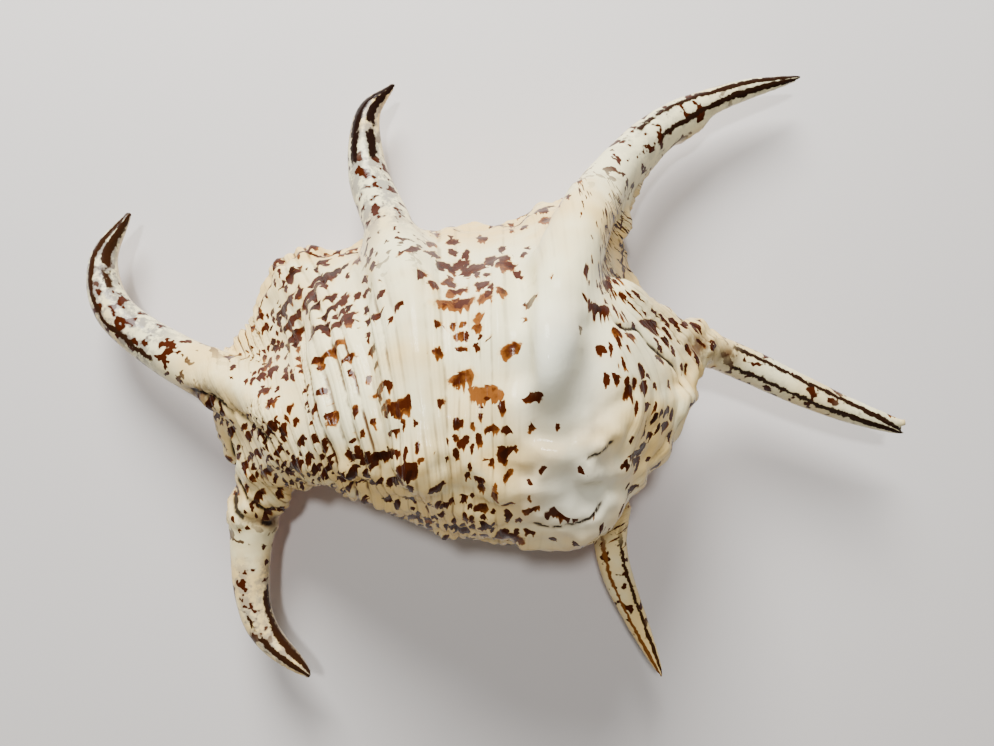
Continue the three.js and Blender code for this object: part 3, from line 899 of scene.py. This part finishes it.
# Raises cords over the back and fine ribs inside the lip, along the normals.
def ribTree(form):
    tree = bpy.data.node_groups.new("shell_ribs", "GeometryNodeTree")
    face = tree.interface
    face.new_socket("Geometry", in_out="INPUT", socket_type="NodeSocketGeometry")
    for name in form:
        face.new_socket(name, in_out="INPUT", socket_type="NodeSocketFloat")
    face.new_socket("Finish", in_out="INPUT", socket_type="NodeSocketMaterial")
    face.new_socket("Geometry", in_out="OUTPUT", socket_type="NodeSocketGeometry")
    wire = Wiring(tree)
    given = wire.add("NodeGroupInput").outputs

    def reading(name):
        node = wire.add("GeometryNodeInputNamedAttribute", data_type="FLOAT")
        node.inputs["Name"].default_value = name
        return node.outputs["Attribute"]

    # Ribs of one kind, Cord or Lira, from the inputs and the attributes that carry its name.
    def ribsOf(kind):
        across = reading(kind.lower() + "Across")
        ribs = wire.ribs(wire.math("DIVIDE", wire.times(across, math.pi), given[kind + " Spacing"]))
        return wire.times(ribs, reading(kind.lower() + "Share"), given[kind + " Height"])

    # The noise's largest bumps are three growth lines across.
    grain = wire.add("ShaderNodeTexNoise")
    grain.inputs["Detail"].default_value = 3
    wire.feed(grain.inputs["Scale"], wire.math("DIVIDE", 1.0, wire.times(given["Growth Spacing"], 3.0)))
    wire.feed(grain.inputs["Vector"], wire.add("GeometryNodeInputPosition").outputs[0])
    growth = wire.times(wire.less(grain.outputs[0], 0.5), given["Growth Height"], reading("outerShare"))
    along = wire.add("ShaderNodeVectorMath", operation="SCALE")
    wire.feed(along.inputs[0], wire.add("GeometryNodeInputNormal").outputs[0])
    wire.feed(along.inputs["Scale"], wire.sum(ribsOf("Cord"), ribsOf("Lira"), growth))
    moved = wire.add("GeometryNodeSetPosition")
    wire.feed(moved.inputs["Geometry"], given["Geometry"])
    wire.feed(moved.inputs["Offset"], along.outputs[0])
    real = wire.add("GeometryNodeRealizeInstances")
    wire.feed(real.inputs[0], moved.outputs[0])
    painted = wire.add("GeometryNodeSetMaterial")
    wire.feed(painted.inputs["Geometry"], real.outputs[0])
    wire.feed(painted.inputs["Material"], given["Finish"])
    wire.feed(wire.add("NodeGroupOutput").inputs[0], painted.outputs[0])
    return tree


# Noise scales are per metre. A noise is a scale, its detail and its roughness; a shake is a scale and a
# width; a patch is a scale and the values between which it shows; ends are where something sets in.
finishForm = {
    "cream": (0.83, 0.77, 0.48, 1),
    "warm": (0.8, 0.57, 0.22, 1),
    "cool": (0.68, 0.71, 0.62, 1),
    "golden": (0.2, 0.068, 0.013, 1),
    "chestnut": (0.045, 0.0085, 0.002, 1),
    "deep": (0.022, 0.0055, 0.002, 1),
    "ink": (0.011, 0.0045, 0.0028, 1),
    "rose": (0.73, 0.37, 0.26, 1),
    "glaze": (0.8, 0.64, 0.48, 1),
    # Dark brown for dirt and stains, also laid as painted shade in the grooves and folds.
    "grimeAndShade": (0.1, 0.045, 0.018, 1),
    "halo": (0.19, 0.175, 0.175, 1),
    # Marks in three sizes: spacing in mm across and along the cords, half width and half height in
    # shares of the spacing with their spread, share of places used when fine and when coarse, and seed.
    "marks": [
        ((13, 8), (0.26, 0.2), (0.18, 0.12), (0.05, 1.0), 5.0),
        ((6, 5.4), (0.22, 0.22), (0.19, 0.15), (0.6, 0.8), 11.0),
        ((3.0, 4.4), (0.2, 0.18), (0.2, 0.22), (0.8, 0.4), 23.0)],
    "acrossShake": (420.0, 2.6),
    "alongShake": (300.0, 3.0),
    # How each cord moves its marks along: scale per mm, seed and amount.
    "cordMoves": (0.3, 7.0, 0.6),
    # Teeth at the lower edge: scale per mm and seed, then the share added and the share taken off.
    "teeth": (0.62, 0.0, 1.5, 0.55),
    # An oval's height, how square it is across and along, its edge, the warm ground round it and its core.
    "oval": {
        "height": 0.95, "powers": (2.5, 2.0), "edge": (-0.12, 0.22), "near": (-1.1, 0.1),
        "core": (0.0, 0.75)},
    # The tone from golden up to dark: where it starts, what each mark's top and core add, and how far marks
    # count; then the shares of that and of the place's darkness, what is taken off, and its shake.
    "tone": {
        "start": 0.5, "top": 1.2, "core": 0.8, "marks": 0.7, "own": 0.55, "place": 0.75, "less": 0.3,
        "shake": (330.0, 0.9), "chestnut": (0.2, 0.6), "deep": (0.78, 1.15)},
    # Stripes, by their distance from the crest as a share of the digit's radius: middle and half breadth,
    # each with its change towards the tip; gaps are where they are broken.
    "stripe": {
        "startShake": (210.0, 0.2), "start": (0.0, 0.03), "shakes": [(110.0, 0.35), (500.0, 0.45)],
        "tip": (0.7, 1.0), "middle": (0.52, 0.12), "half": (0.14, 0.18), "edge": (0.0, 0.08),
        "gaps": (170.0, 0.42, 0.48), "brown": 0.85},
    # Spots on the digits, and grey smudges round them and the stripes.
    "dots": (290.0, 2.0),
    "spot": {"edge": (0.57, 0.605), "last": (0.75, 0.9)},
    "smudge": {
        "noise": (260.0, 4.0, 0.7), "stripes": 0.3, "edge": (0.4, 0.56), "beside": (-0.5, 0.0),
        "dots": (0.5, 0.58), "first": (0.45, 0.58), "amount": 0.85},
    "warmPatch": (32.0, 0.45, 0.75),
    "nearWarmth": 0.6,
    "edgeAndFootShadePatch": (90.0, 0.25, 0.6),
    "coolness": 0.8,
    "grooveEnds": (0.12, 0.5),
    "grooveDirtAndShadePatch": (130.0, 0.35, 0.6),
    "stainPatch": (240.0, 0.3, 0.55),
    # How strongly the groove dirt with its painted groove shade, the stains and the cracks cover.
    "stainAndShadeAmount": 0.95,
    # The folds are darkened with painted crease shade and some brown dirt: where it sets in, and how much.
    "foldShadeAndDirtEnds": (0.1, 1.0),
    "foldShadeAndDirtAmount": 0.45,
    # Thin broken brown lines that follow the lip's rim: depth, half width, edge and gaps.
    "rimLine": {
        "shake": (120.0, 5.0), "depth": 2.4, "half": 0.45, "edge": (0.0, 0.25), "gaps": (95.0, 0.47, 0.52)},
    "crackEnds": (0.45, 0.8),
    "crackPatch": (190.0, 0.36, 0.44),
    # Roughness: the least, what noise and folds add, and what plain places take off.
    "roughness": {"least": 0.09, "noise": (55.0, 4.0), "spread": 0.16, "plain": 0.05, "fold": 0.3},
    # Relief too fine for the mesh: threads finer than the cords, and growth grain.
    "relief": {"threads": 3, "threadHeight": 0.8, "grain": (700.0, 4.0), "grainHeight": 0.4},
    "reliefStrength": 0.5,
    "reliefDepth": 0.0003,
    "specular": 0.13,
    "ior": 1.45,
}


# Wiring for the finish, with the readings that several layers need.
class Paint(Wiring):
    def __init__(self, tree):
        super().__init__(tree)
        self.place = self.add("ShaderNodeTexCoord").outputs["Object"]
        self.cord = self.reading("cordAcross")
        self.cordShare = self.reading("cordShare")
        self.outer = self.reading("outerShare")
        self.digit = self.reading("digitShare")
        self.fold = self.reading("foldShare")
        self.plain = self.reading("plainShare")

    def reading(self, name):
        return self.add("ShaderNodeAttribute", attribute_name=name).outputs["Fac"]

    def blend(self, amount, first, second):
        node = self.add("ShaderNodeMix", data_type="RGBA", clamp_factor=True)
        self.feed(node.inputs["Factor"], amount)
        self.feed(node.inputs["A"], first)
        self.feed(node.inputs["B"], second)
        return node.outputs["Result"]

    def noise(self, scale, detail=3.0, rough=0.5):
        node = self.add("ShaderNodeTexNoise")
        self.feed(node.inputs["Vector"], self.place)
        node.inputs["Scale"].default_value = scale
        node.inputs["Detail"].default_value = detail
        node.inputs["Roughness"].default_value = rough
        return node.outputs[0]

    def patch(self, scale, low, high):
        return self.rise(self.noise(scale), low, high)

    # Noise about zero, so wide.
    def shake(self, scale, width):
        return self.times(self.less(self.noise(scale, rough=0.6), 0.5), width)

    # A value for each cord, the same all along it, from 0 to 1.
    def perCord(self, scale, seed):
        node = self.add("ShaderNodeTexNoise", noise_dimensions="1D")
        self.feed(node.inputs["W"], self.sum(self.times(self.cord, scale), seed))
        node.inputs["Scale"].default_value = 1.0
        node.inputs["Detail"].default_value = 1.0
        return self.rise(node.outputs[0], 0.3, 0.7)


# Where the marks are, the ground near them, and their tone. Each mark is an oval in its own cell; its lower
# edge hangs down in teeth, one to a thread.
def layMarks(paint, form):
    oval, shade = form["oval"], form["tone"]
    crowded = paint.reading("markShare")
    coarse = paint.reading("coarseShare")
    scale, seed, added, taken = form["teeth"]
    teeth = paint.less(paint.times(paint.perCord(scale, seed), added), taken)
    scale, seed, amount = form["cordMoves"]
    across = paint.sum(paint.reading("markAcross"), paint.shake(*form["acrossShake"]))
    along = paint.sum(paint.reading("markAlong"), paint.shake(*form["alongShake"]))
    along = paint.sum(along, paint.times(paint.perCord(scale, seed), amount))
    marks = near = 0.0
    tone = shade["start"]
    for spacing, wide, tall, used, seed in form["marks"]:
        spot = paint.add("ShaderNodeCombineXYZ")
        for socket, value, step in zip(spot.inputs, (across, along), spacing):
            paint.feed(socket, paint.sum(paint.math("DIVIDE", value, step), seed))
        cells = paint.add("ShaderNodeTexVoronoi", feature="F1", voronoi_dimensions="2D")
        paint.feed(cells.inputs["Vector"], spot.outputs[0])
        cells.inputs["Scale"].default_value = 1.0
        luck = paint.add("ShaderNodeSeparateColor")
        paint.feed(luck.inputs[0], cells.outputs["Color"])
        apart = paint.add("ShaderNodeVectorMath", operation="SUBTRACT")
        paint.feed(apart.inputs[0], spot.outputs[0])
        paint.feed(apart.inputs[1], cells.outputs["Position"])
        local = paint.add("ShaderNodeSeparateXYZ")
        paint.feed(local.inputs[0], apart.outputs[0])
        share = paint.sum(used[0], paint.times(coarse, used[1] - used[0]))
        chosen = paint.math("LESS_THAN", luck.outputs[0], paint.times(crowded, share))
        halfWide = paint.sum(wide[0], paint.times(luck.outputs[1], wide[1]))
        halfTall = paint.sum(tall[0], paint.times(luck.outputs[2], tall[1]))
        hang = paint.times(paint.math("LESS_THAN", local.outputs[1], 0.0), teeth)
        halfTall = paint.times(halfTall, paint.sum(oval["height"], hang))
        filled = 0.0
        for offset, half, power in zip(local.outputs, (halfWide, halfTall), oval["powers"]):
            part = paint.math("POWER", paint.size(paint.math("DIVIDE", offset, half)), power)
            filled = paint.sum(filled, part)
        depth = paint.invert(filled)
        mark = paint.times(paint.rise(depth, *oval["edge"]), chosen)
        near = paint.math("MAXIMUM", near, paint.times(paint.rise(depth, *oval["near"]), chosen))
        # The luck of the width, shuffled, also gives the mark's own tone.
        own = paint.less(paint.math("FRACT", paint.times(luck.outputs[1], 7.0)), 0.5)
        own = paint.sum(own, paint.times(local.outputs[1], shade["top"]))
        own = paint.sum(own, paint.times(paint.rise(depth, *oval["core"]), shade["core"]))
        tone = paint.sum(tone, paint.times(mark, own, shade["marks"]))
        marks = paint.math("MAXIMUM", marks, mark)
    tone = paint.sum(paint.times(tone, shade["own"]), paint.times(paint.reading("darkShare"), shade["place"]))
    return marks, near, paint.sum(paint.less(tone, shade["less"]), paint.shake(*shade["shake"]))


# Two dark ragged stripes run along each digit beside a white crest and meet at the tip, with brown spots
# and grey smudges nearer the root.
def layStripes(paint, form):
    shape, smudged = form["stripe"], form["smudge"]
    onDigit = paint.times(paint.digit, paint.outer)
    along = paint.reading("digitAlong")
    side = paint.size(paint.reading("digitSide"))
    past = paint.less(along, paint.sum(paint.reading("stripeStart"), paint.shake(*shape["startShake"])))
    side = paint.sum(side, *(paint.shake(*shake) for shake in shape["shakes"]))
    tip = paint.rise(along, *shape["tip"])
    middle = paint.less(shape["middle"][0], paint.times(tip, shape["middle"][1]))
    half = paint.sum(shape["half"][0], paint.times(tip, shape["half"][1]))
    half = paint.times(half, paint.reading("stripeBreadth"))
    depth = paint.less(half, paint.size(paint.less(side, middle)))
    scale, low, high = shape["gaps"]
    whole = paint.rise(paint.sum(paint.noise(scale), past), low, high)
    stripe = paint.times(paint.rise(depth, *shape["edge"]), whole, paint.rise(past, *shape["start"]), onDigit)
    dots = paint.noise(*form["dots"])
    spots = paint.times(paint.rise(dots, *form["spot"]["edge"]), onDigit)
    spots = paint.times(spots, paint.invert(paint.rise(along, *form["spot"]["last"])))
    smudge = paint.sum(paint.noise(*smudged["noise"]), paint.times(depth, smudged["stripes"]))
    smudge = paint.times(paint.rise(smudge, *smudged["edge"]), paint.rise(depth, *smudged["beside"]))
    smudge = paint.math("MAXIMUM", smudge, paint.rise(dots, *smudged["dots"]))
    smudge = paint.times(smudge, onDigit, paint.reading("haloShare"), smudged["amount"])
    return stripe, spots, paint.times(smudge, paint.rise(along, *smudged["first"]))


# The ground colour: cream, warmer at the edges and near marks, with a warm painted shade towards the foot,
# and cooler where it is polished bare; brown dirt with painted shade in the grooves and folds; rose and glaze
# inside.
def layGround(paint, form, near, smudge):
    ground = paint.blend(paint.patch(*form["warmPatch"]), form["cream"], form["warm"])
    ground = paint.blend(paint.times(near, form["nearWarmth"]), ground, form["warm"])
    # Warm at the growing edge and the front, and warm painted shade towards the foot.
    edge = paint.times(paint.reading("warmEdgeAndFootShade"), paint.patch(*form["edgeAndFootShadePatch"]))
    ground = paint.blend(edge, ground, form["warm"])
    ground = paint.blend(paint.times(paint.plain, form["coolness"]), ground, form["cool"])
    ribs = paint.ribs(paint.times(paint.cord, math.pi / ribForm["Cord Spacing"]))
    groove = paint.times(paint.invert(paint.rise(ribs, *form["grooveEnds"])), paint.cordShare)
    offDigit = paint.invert(paint.digit)
    # Brown in the cord grooves: partly dirt, partly painted shade standing in for the cords' shadows.
    grooveDirtAndShade = paint.times(groove, paint.patch(*form["grooveDirtAndShadePatch"]), offDigit, form["stainAndShadeAmount"])
    ground = paint.blend(grooveDirtAndShade, ground, form["grimeAndShade"])
    # Painted crease shade with brown dirt along the folds.
    foldShadeAndDirt = paint.times(paint.rise(paint.fold, *form["foldShadeAndDirtEnds"]), form["foldShadeAndDirtAmount"])
    ground = paint.blend(foldShadeAndDirt, ground, form["grimeAndShade"])
    stain = paint.times(paint.reading("stainShare"), paint.patch(*form["stainPatch"]), form["stainAndShadeAmount"])
    ground = paint.blend(stain, ground, form["grimeAndShade"])
    ground = paint.blend(smudge, ground, form["halo"])
    inside = paint.blend(paint.reading("mouthShare"), form["glaze"], form["rose"])
    return paint.blend(paint.outer, inside, ground)


# Thin broken brown lines that follow the lip's rim.
def layRimLine(paint, form):
    line = form["rimLine"]
    depth = paint.sum(paint.reading("rimDepth"), paint.shake(*line["shake"]))
    inside = paint.less(line["half"], paint.size(paint.less(depth, line["depth"])))
    shown = paint.times(paint.rise(inside, *line["edge"]), paint.patch(*line["gaps"]))
    return paint.times(shown, paint.outer, paint.invert(paint.digit))


def shellFinish(form):
    made = bpy.data.materials.new("conch_porcelain")
    made.use_nodes = True
    paint = Paint(made.node_tree)
    surface = made.node_tree.nodes["Principled BSDF"].inputs
    marks, near, tone = layMarks(paint, form)
    stripe, spots, smudge = layStripes(paint, form)
    pigment = paint.blend(paint.rise(tone, *form["tone"]["chestnut"]), form["golden"], form["chestnut"])
    pigment = paint.blend(paint.rise(tone, *form["tone"]["deep"]), pigment, form["deep"])
    coloured = paint.blend(marks, layGround(paint, form, near, smudge), pigment)
    coloured = paint.blend(spots, coloured, form["chestnut"])
    coloured = paint.blend(layRimLine(paint, form), coloured, form["chestnut"])
    crack = paint.times(paint.rise(paint.fold, *form["crackEnds"]), paint.patch(*form["crackPatch"]))
    coloured = paint.blend(paint.times(crack, form["stainAndShadeAmount"]), coloured, form["ink"])
    brown = paint.times(paint.reading("stripeBrown"), form["stripe"]["brown"])
    coloured = paint.blend(stripe, coloured, paint.blend(brown, form["ink"], form["golden"]))
    paint.feed(surface["Base Color"], coloured)

    gloss = form["roughness"]
    rough = paint.sum(gloss["least"], paint.times(paint.noise(*gloss["noise"]), gloss["spread"]))
    rough = paint.less(rough, paint.times(paint.plain, gloss["plain"]))
    paint.feed(surface["Roughness"], paint.sum(rough, paint.times(paint.fold, gloss["fold"])))
    surface["Specular IOR Level"].default_value = form["specular"]
    surface["IOR"].default_value = form["ior"]

    relief = form["relief"]
    threads = paint.ribs(paint.times(paint.cord, relief["threads"] * math.pi / ribForm["Cord Spacing"]))
    height = paint.times(threads, paint.cordShare, relief["threadHeight"])
    height = paint.sum(height, paint.times(paint.noise(*relief["grain"]), relief["grainHeight"]))
    bump = paint.add("ShaderNodeBump")
    bump.inputs["Strength"].default_value = form["reliefStrength"]
    bump.inputs["Distance"].default_value = form["reliefDepth"]
    paint.feed(bump.inputs["Height"], height)
    paint.feed(surface["Normal"], bump.outputs[0])
    return made


# Runs the rib tree on the skin and keeps the result as a plain mesh.
def ribShell(piece, form, finish):
    tree = ribTree(form)
    modifier = piece.modifiers.new("ribs", "NODES")
    modifier.node_group = tree
    given = dict(form, Finish=finish)
    for socket in tree.interface.items_tree:
        if socket.in_out == "INPUT" and socket.name in given:
            modifier[socket.identifier] = given[socket.name]
    graph = bpy.context.evaluated_depsgraph_get()
    ready = piece.evaluated_get(graph)
    mesh = bpy.data.meshes.new_from_object(ready, preserve_all_data_layers=True, depsgraph=graph)
    if len(mesh.vertices) != len(piece.data.vertices):
        raise RuntimeError("the ribs lost part of the shell's skin")
    piece.modifiers.remove(modifier)
    piece.data = mesh
    if not mesh.materials:
        mesh.materials.append(finish)


finish = shellFinish(finishForm)
ribShell(shell, ribForm, finish)
print("ribs raised and finish laid")


stageForm = {
    "floorSize": 4.0,
    "floorColour": (0.62, 0.6, 0.6, 1),
    "floorRoughness": 0.7,
    # The camera is over the middle of the body whorl and looks straight down.
    "eye": 0.245,
    "lens": 27.2,
    "sensor": 36,
    # Soft lights: position, size, power and colour, all aimed at the shell.
    "aim": (0, 0, 0.03),
    "lights": {
        "key": ((-0.14, 0.72, 0.47), 0.42, 22, (1, 0.98, 0.93)),
        "front": ((-0.05, 0.2, 0.8), 0.08, 3.6, (1, 0.99, 0.97)),
        "low": ((0.1, -0.8, 0.35), 0.7, 0.9, (1, 0.78, 0.55))},
    "air": (0.79, 0.77, 0.74, 1),
    "airStrength": 0.17,
}


def layFloor(form):
    mesh = bpy.data.meshes.new("floor_plane")
    half = form["floorSize"] / 2
    corners = [(-half, -half, 0), (half, -half, 0), (half, half, 0), (-half, half, 0)]
    mesh.from_pydata(corners, [], [(0, 1, 2, 3)])
    floor = bpy.data.objects.new("floor", mesh)
    bpy.context.scene.collection.objects.link(floor)
    paint = bpy.data.materials.new("floor_paint")
    paint.use_nodes = True
    surface = paint.node_tree.nodes["Principled BSDF"]
    surface.inputs["Base Color"].default_value = form["floorColour"]
    surface.inputs["Roughness"].default_value = form["floorRoughness"]
    mesh.materials.append(paint)


def hangLights(form):
    for name, (place, size, power, colour) in form["lights"].items():
        lamp = bpy.data.lights.new(name, "AREA")
        lamp.shape = "DISK"
        lamp.size = size
        lamp.energy = power
        lamp.color = colour
        light = bpy.data.objects.new(name, lamp)
        light.location = place
        light.rotation_euler = (Vector(form["aim"]) - light.location).to_track_quat("-Z", "Y").to_euler()
        bpy.context.scene.collection.objects.link(light)
    world = bpy.data.worlds.new("studio_air")
    world.use_nodes = True
    air = world.node_tree.nodes["Background"]
    air.inputs["Color"].default_value = form["air"]
    air.inputs["Strength"].default_value = form["airStrength"]
    bpy.context.scene.world = world


def setCamera(form):
    lens = bpy.data.cameras.new("camera")
    lens.sensor_width = form["sensor"]
    lens.lens = form["lens"]
    camera = bpy.data.objects.new("camera", lens)
    camera.location = (shift[0] / perMetre, shift[1] / perMetre, form["eye"])
    camera.rotation_euler = (0, 0, 0)
    bpy.context.scene.collection.objects.link(camera)
    bpy.context.scene.camera = camera


layFloor(stageForm)
hangLights(stageForm)
setCamera(stageForm)
print("stage set")

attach(shell, "root")
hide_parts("shell")
